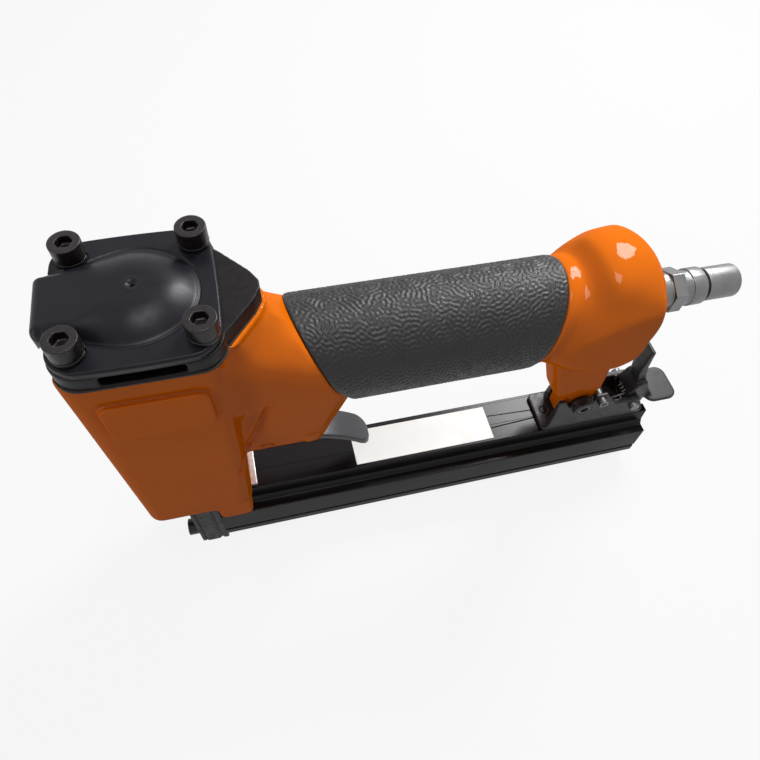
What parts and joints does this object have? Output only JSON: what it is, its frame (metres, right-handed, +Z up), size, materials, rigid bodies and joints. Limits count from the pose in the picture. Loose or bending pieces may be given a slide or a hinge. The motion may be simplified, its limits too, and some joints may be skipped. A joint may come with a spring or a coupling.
{
  "type": "pneumatic stapler",
  "caption": "Pneumatic upholstery stapler with an orange cast body, black cap, rubber grip, trigger, air plug and a long magazine with a loading drawer and a sprung latch.",
  "frame": {"origin": "on the work face of the nose, in the tool's middle plane, on the axis of the cylinder and the driver blade", "axes": "+X to the rear towards the air plug, +Z up along the cylinder axis, +Y to the left side"},
  "size_m": [0.2317, 0.0452, 0.152],
  "materials": {
    "body_enamel": "glossy orange enamel on a cast alloy body",
    "cap_paint": "satin black paint",
    "plate_paint": "satin black paint",
    "screw_oxide": "black oxide",
    "gasket_fibre": "matte",
    "valve_alloy": "machined",
    "inner_rubber": "matte",
    "spring_steel": "drawn wire",
    "sleeve_steel": "ground",
    "grip_rubber": "wrinkled grain",
    "plug_steel": "satin nickel plate",
    "valve_brass": "turned",
    "trigger_grey": "satin dark grey",
    "nose_black": "black oxide",
    "magazine_black": "satin black anodised",
    "seat_bright": "bright",
    "label_white": "bare white film",
    "rail_steel": "zinc plated",
    "drawer_black": "fine grain",
    "bracket_black": "satin black",
    "pin_steel": "ground",
    "latch_grey": "satin dark grey"
  },
  "bodies": {
    "stapler": {"main_body": "body_enamel", "top_cap": "cap_paint", "cap_screws": "screw_oxide", "cap_lock_washers": "screw_oxide", "head_plate": "plate_paint", "head_gasket": "gasket_fibre", "head_valve_spring": "spring_steel", "cylinder_sleeve": "sleeve_steel", "sleeve_rings": "inner_rubber", "bumper": "inner_rubber", "grip_sleeve": "grip_rubber", "air_plug": "plug_steel", "plug_washer": "valve_brass", "trigger_pin": "pin_steel", "valve_bushing": "valve_brass", "valve_rings": "inner_rubber", "valve_spring": "spring_steel", "nose_block": "nose_black", "front_plate": "nose_black", "front_plate_screws": "screw_oxide", "nose_bolts": "screw_oxide", "magazine_housing": "magazine_black", "magazine_seat": "seat_bright", "magazine_screws": "screw_oxide", "label_plate": "label_white", "rear_bracket": "bracket_black", "bracket_screws": "screw_oxide", "bracket_bolt": "screw_oxide", "bracket_pin": "pin_steel", "latch_pin": "pin_steel", "latch_spring": "spring_steel"},
    "trigger": {"trigger": "trigger_grey"},
    "valve_stem": {"valve_stem": "sleeve_steel"},
    "head_valve": {"head_valve": "valve_alloy", "head_valve_ring": "inner_rubber", "head_valve_seal": "inner_rubber"},
    "piston": {"piston": "valve_alloy", "piston_ring": "inner_rubber", "driver_blade": "sleeve_steel", "driver_pin": "pin_steel"},
    "drawer": {"drawer_rail": "rail_steel", "drawer_end": "drawer_black", "drawer_rivets": "rail_steel", "spring_rod": "sleeve_steel", "pusher_spring": "spring_steel"},
    "pusher": {"pusher": "rail_steel"},
    "latch": {"latch_lever": "latch_grey"}
  },
  "joints": [
    {"name": "trigger_hinge", "type": "hinge", "parent": "stapler", "child": "trigger", "pos_m": [0.025, 0, 0.072], "axis": [0, -1, 0], "range_deg": [0, 10], "stiffness_Nm_per_rad": 0.25, "springref_deg": -11.46},
    {"name": "valve_stem_slide", "type": "slide", "parent": "stapler", "child": "valve_stem", "axis": [0, 0, 1], "range_m": [0, 0.0023], "deforming": ["valve_spring"]},
    {"name": "head_valve_slide", "type": "slide", "parent": "stapler", "child": "head_valve", "axis": [0, 0, 1], "range_m": [0, 0.0024], "stiffness_N_per_m": 1500, "springref_m": -0.002, "deforming": ["head_valve_spring"]},
    {"name": "piston_slide", "type": "slide", "parent": "stapler", "child": "piston", "axis": [0, 0, -1], "range_m": [0, 0.045]},
    {"name": "drawer_slide", "type": "slide", "parent": "stapler", "child": "drawer", "axis": [1, 0, 0], "range_m": [0, 0.125]},
    {"name": "pusher_slide", "type": "slide", "parent": "drawer", "child": "pusher", "axis": [1, 0, 0], "range_m": [0, 0.115], "stiffness_N_per_m": 25, "springref_m": -0.06, "deforming": ["pusher_spring"]},
    {"name": "latch_hinge", "type": "hinge", "parent": "stapler", "child": "latch", "pos_m": [0.184, 0, 0.04], "axis": [0, -1, 0], "range_deg": [0, 12], "stiffness_Nm_per_rad": 0.25, "springref_deg": -17.19, "deforming": ["latch_spring"]}
  ],
  "couplings": [
    {"joint": "valve_stem_slide", "follows": "trigger_hinge", "m_per_rad": 0.013}
  ]
}
